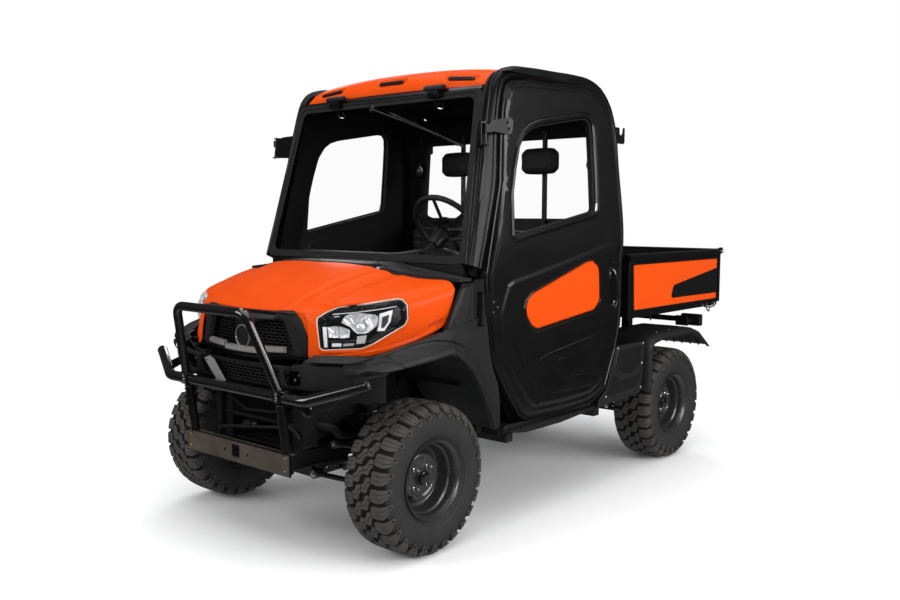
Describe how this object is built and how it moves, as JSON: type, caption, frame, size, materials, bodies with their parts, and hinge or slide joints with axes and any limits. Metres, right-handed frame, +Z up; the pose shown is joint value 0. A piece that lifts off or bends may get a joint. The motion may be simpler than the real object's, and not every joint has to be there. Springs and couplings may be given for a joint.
{
  "type": "side by side utility vehicle",
  "caption": "Side by side utility vehicle with a closed cab, brush guard, opening doors and hood, steered front wheels and a tipping cargo bed with a drop tailgate.",
  "frame": {"origin": "ground plane under the middle of the vehicle's overall length and width", "axes": "+Z up, -Y is the vehicle's front, +X is the vehicle's left side; the ground is at z = 0"},
  "size_m": [1.58, 3.14, 2.044],
  "materials": {
    "bare_steel": "satin",
    "black_paint": "gloss",
    "black_plastic": "textured",
    "cast_metal": "rough",
    "chrome_rod": "polished",
    "clear_glass": "clear",
    "frame_paint": "satin",
    "grille_plastic": "gloss",
    "lamp_glass": "clear",
    "orange_paint": "gloss",
    "rim_paint": "satin",
    "seat_vinyl": "matte",
    "tyre_rubber": "matte"
  },
  "bodies": {
    "chassis": {"frame": "frame_paint", "cylinder_mount": "frame_paint", "hitch_receiver": "frame_paint", "engine": "cast_metal", "front_suspension": "frame_paint", "rear_suspension": "frame_paint", "bumper_bar": "black_paint", "guard_hoop": "black_paint", "winch_mount": "bare_steel", "bumper_cover": "black_plastic", "front_fenders": "black_plastic", "cowl": "black_plastic", "cab_frame": "black_paint", "door_hinges": "black_paint", "roof": "orange_paint", "windshield": "clear_glass", "rear_wall": "black_paint", "rear_window": "clear_glass", "floor": "black_plastic", "dashboard": "black_plastic", "seat_base": "black_plastic", "seat_cushion": "seat_vinyl", "seat_back": "seat_vinyl", "headrests": "seat_vinyl", "side_panels": "black_plastic", "rear_fenders": "black_plastic"},
    "knuckle_left": {"knuckle_left": "cast_metal"},
    "knuckle_right": {"knuckle_right": "cast_metal"},
    "wheel_front_left": {"tyre_front_left": "tyre_rubber", "rim_front_left": "rim_paint"},
    "wheel_front_right": {"tyre_front_right": "tyre_rubber", "rim_front_right": "rim_paint"},
    "wheel_rear_left": {"tyre_rear_left": "tyre_rubber", "rim_rear_left": "rim_paint"},
    "wheel_rear_right": {"tyre_rear_right": "tyre_rubber", "rim_rear_right": "rim_paint"},
    "steering_wheel": {"steering_wheel": "black_plastic"},
    "door_left": {"door_left": "black_paint", "door_glass_left": "clear_glass"},
    "door_right": {"door_right": "black_paint", "door_glass_right": "clear_glass"},
    "hood": {"hood": "orange_paint", "headlights": "lamp_glass", "grille": "grille_plastic"},
    "cargo_bed": {"cargo_bed": "black_paint"},
    "tailgate": {"tailgate": "black_paint"},
    "cylinder_barrel": {"cylinder_barrel": "frame_paint"},
    "cylinder_rod": {"cylinder_rod": "chrome_rod"}
  },
  "joints": [
    {"name": "steer_left", "type": "hinge", "parent": "chassis", "child": "knuckle_left", "pos_m": [0.545, -1, 0.314], "axis": [0, 0, 1], "range_deg": [-30, 30]},
    {"name": "steer_right", "type": "hinge", "parent": "chassis", "child": "knuckle_right", "pos_m": [-0.545, -1, 0.314], "axis": [0, 0, 1], "range_deg": [-30, 30]},
    {"name": "steering_wheel_turn", "type": "hinge", "parent": "chassis", "child": "steering_wheel", "pos_m": [0.3, -0.432, 1.318], "axis": [0, 0.8, 0.6], "range_deg": [-450, 450]},
    {"name": "wheel_front_left_spin", "type": "hinge", "parent": "knuckle_left", "child": "wheel_front_left", "pos_m": [0.622, -1, 0.314], "axis": [1, 0, 0], "continuous": true},
    {"name": "wheel_front_right_spin", "type": "hinge", "parent": "knuckle_right", "child": "wheel_front_right", "pos_m": [-0.622, -1, 0.314], "axis": [1, 0, 0], "continuous": true},
    {"name": "wheel_rear_left_spin", "type": "hinge", "parent": "chassis", "child": "wheel_rear_left", "pos_m": [0.622, 1.045, 0.314], "axis": [1, 0, 0], "continuous": true},
    {"name": "wheel_rear_right_spin", "type": "hinge", "parent": "chassis", "child": "wheel_rear_right", "pos_m": [-0.622, 1.045, 0.314], "axis": [1, 0, 0], "continuous": true},
    {"name": "door_left_swing", "type": "hinge", "parent": "chassis", "child": "door_left", "pos_m": [0.73, -0.702, 1], "axis": [0.0459, -0.0779, -0.9959], "range_deg": [0, 70]},
    {"name": "door_right_swing", "type": "hinge", "parent": "chassis", "child": "door_right", "pos_m": [-0.73, -0.702, 1], "axis": [0.0459, 0.0779, 0.9959], "range_deg": [0, 70]},
    {"name": "hood_lift", "type": "hinge", "parent": "chassis", "child": "hood", "pos_m": [0, -0.9, 1.15], "axis": [-1, 0, 0], "range_deg": [0, 50]},
    {"name": "bed_tilt", "type": "hinge", "parent": "chassis", "child": "cargo_bed", "pos_m": [0, 1.45, 0.815], "axis": [-1, 0, 0], "range_deg": [0, 45]},
    {"name": "tailgate_drop", "type": "hinge", "parent": "cargo_bed", "child": "tailgate", "pos_m": [0, 1.552, 0.866], "axis": [-1, 0, 0], "range_deg": [0, 90]},
    {"name": "cylinder_pivot", "type": "hinge", "parent": "chassis", "child": "cylinder_barrel", "pos_m": [0, 0.96, 0.455], "axis": [-1, 0, 0], "range_deg": [-12, 2]},
    {"name": "cylinder_extend", "type": "slide", "parent": "cylinder_barrel", "child": "cylinder_rod", "axis": [0, 0.6066, 0.795], "range_m": [0, 0.19]}
  ],
  "couplings": [
    {"joint": "steer_right", "follows": "steer_left", "ratio": 1},
    {"joint": "steering_wheel_turn", "follows": "steer_left", "ratio": 15},
    {"joint": "cylinder_pivot", "follows": "bed_tilt", "ratio": -0.07402},
    {"joint": "cylinder_extend", "follows": "bed_tilt", "m_per_rad": 0.2009}
  ]
}
